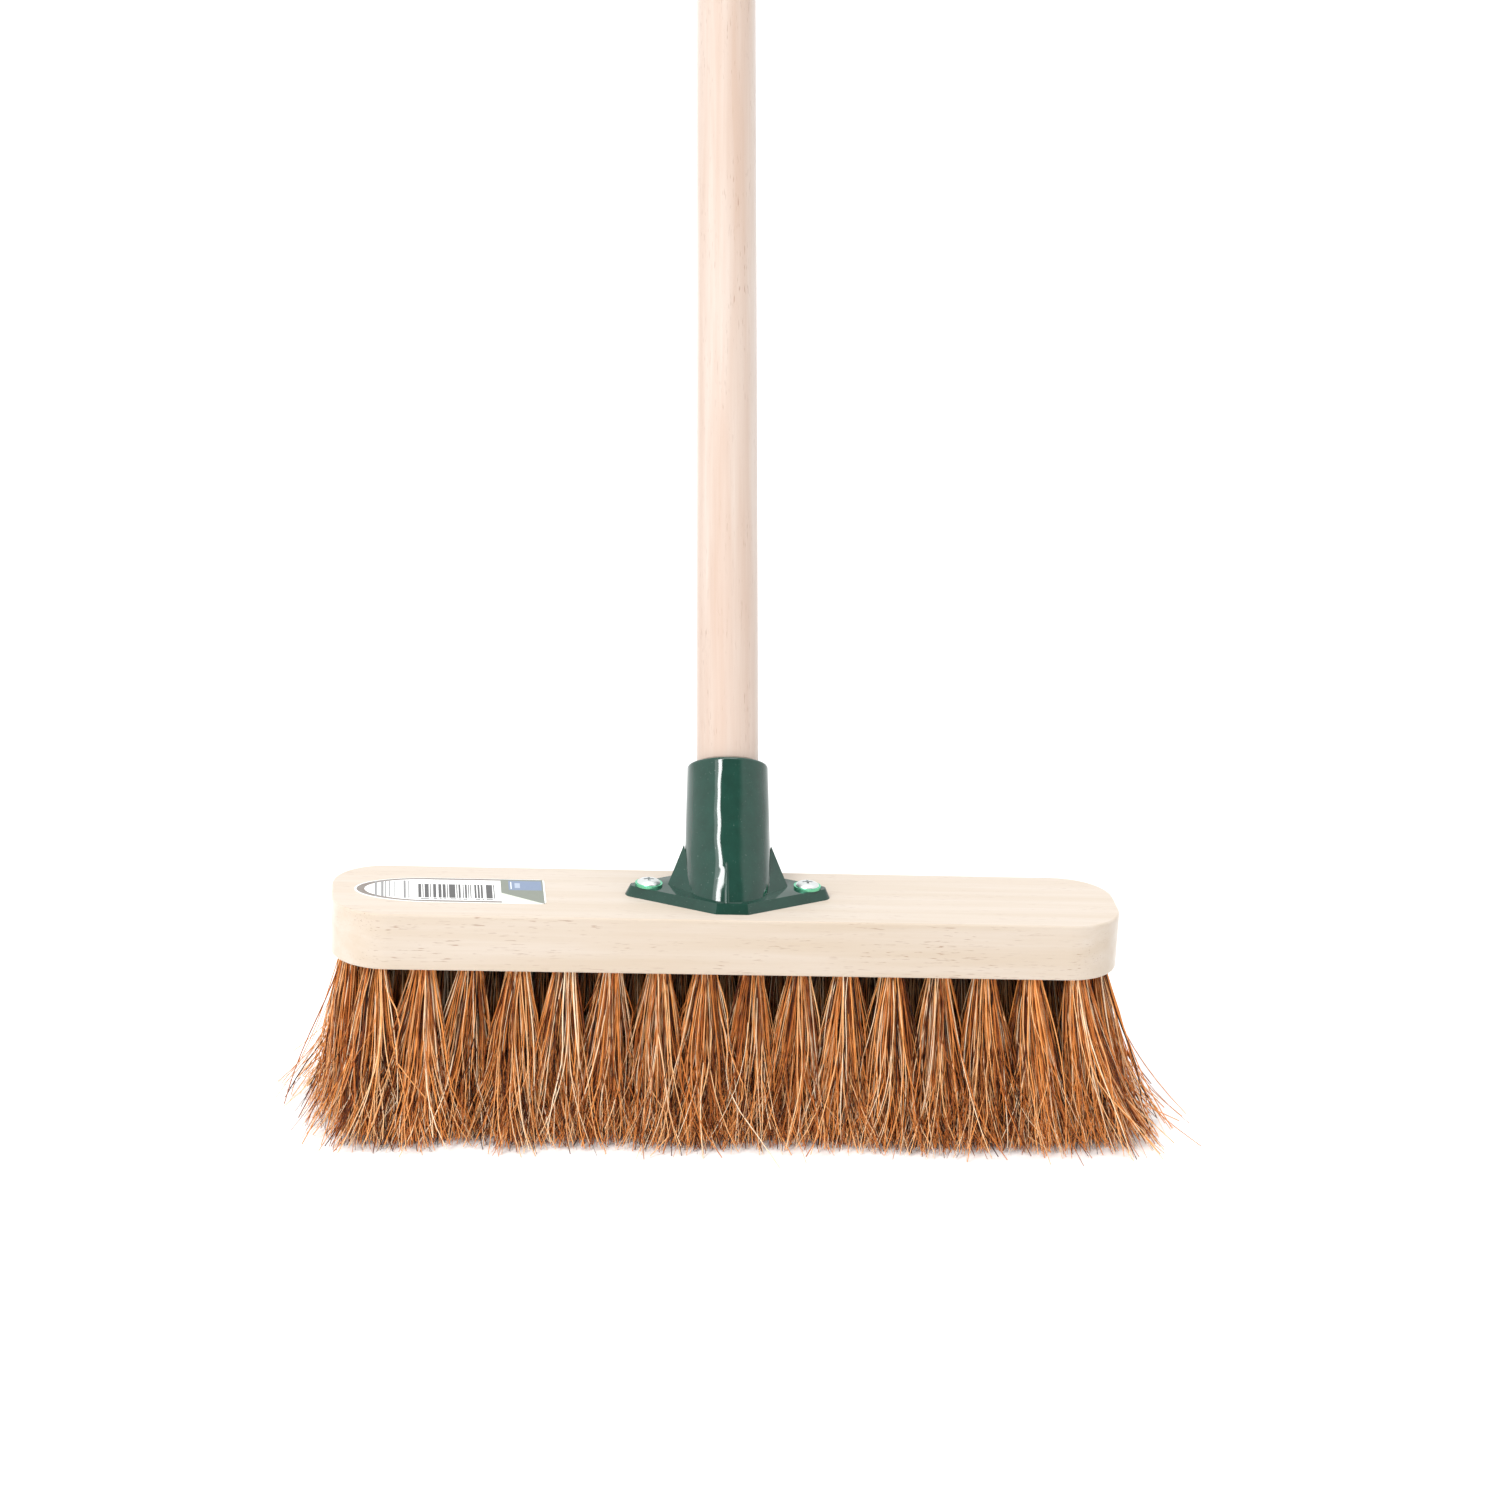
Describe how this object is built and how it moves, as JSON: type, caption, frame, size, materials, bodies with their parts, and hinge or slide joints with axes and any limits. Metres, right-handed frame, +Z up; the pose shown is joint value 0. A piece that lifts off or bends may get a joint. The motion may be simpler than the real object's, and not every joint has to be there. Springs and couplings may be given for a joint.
{
  "type": "push broom",
  "caption": "Wooden push broom with rows of coir bristles, a green plastic socket and a round wooden pole.",
  "frame": {"origin": "on the floor, under the middle of the stock, in the plane of the bristle tips", "axes": "+X along the stock, +Y to the back, where the pole leans, +Z up"},
  "size_m": [0.3344, 0.68, 1.1211],
  "materials": {
    "stock_wood": "sanded bare wood",
    "pole_wood": "sanded bare wood",
    "socket_plastic": "glossy moulded polypropylene",
    "zinc_screws": "bright zinc plate",
    "coir": "natural coir fibre",
    "anchor_wire": "plain drawn wire",
    "label_paper": "satin printed label"
  },
  "bodies": {
    "head": {"stock": "stock_wood", "socket": "socket_plastic", "pole": "pole_wood", "label": "label_paper", "pole_screw": "zinc_screws", "socket_screw_left": "zinc_screws", "socket_screw_right": "zinc_screws", "tuft_roots_row_1": "coir", "tuft_roots_row_2": "coir", "tuft_roots_row_3": "coir", "tuft_roots_row_4": "coir", "tuft_roots_row_5": "coir", "tuft_anchors_row_1": "anchor_wire", "tuft_anchors_row_2": "anchor_wire", "tuft_anchors_row_3": "anchor_wire", "tuft_anchors_row_4": "anchor_wire", "tuft_anchors_row_5": "anchor_wire"},
    "bristles_1": {"tufts_row_1": "coir"},
    "bristles_2": {"tufts_row_2": "coir"},
    "bristles_3": {"tufts_row_3": "coir"},
    "bristles_4": {"tufts_row_4": "coir"},
    "bristles_5": {"tufts_row_5": "coir"}
  },
  "joints": [
    {"name": "row_1_flex", "type": "hinge", "parent": "head", "child": "bristles_1", "pos_m": [0, -0.02, 0.0637], "axis": [1, 0, 0], "range_deg": [-15, 15], "stiffness_Nm_per_rad": 1},
    {"name": "row_2_flex", "type": "hinge", "parent": "head", "child": "bristles_2", "pos_m": [0, -0.01, 0.0637], "axis": [1, 0, 0], "range_deg": [-15, 15], "stiffness_Nm_per_rad": 1},
    {"name": "row_3_flex", "type": "hinge", "parent": "head", "child": "bristles_3", "pos_m": [0, 0, 0.0637], "axis": [1, 0, 0], "range_deg": [-15, 15], "stiffness_Nm_per_rad": 1},
    {"name": "row_4_flex", "type": "hinge", "parent": "head", "child": "bristles_4", "pos_m": [0, 0.01, 0.0637], "axis": [1, 0, 0], "range_deg": [-15, 15], "stiffness_Nm_per_rad": 1},
    {"name": "row_5_flex", "type": "hinge", "parent": "head", "child": "bristles_5", "pos_m": [0, 0.02, 0.0637], "axis": [1, 0, 0], "range_deg": [-15, 15], "stiffness_Nm_per_rad": 1}
  ],
  "couplings": [
    {"joint": "row_2_flex", "follows": "row_1_flex", "ratio": 1},
    {"joint": "row_3_flex", "follows": "row_1_flex", "ratio": 1},
    {"joint": "row_4_flex", "follows": "row_1_flex", "ratio": 1},
    {"joint": "row_5_flex", "follows": "row_1_flex", "ratio": 1}
  ]
}
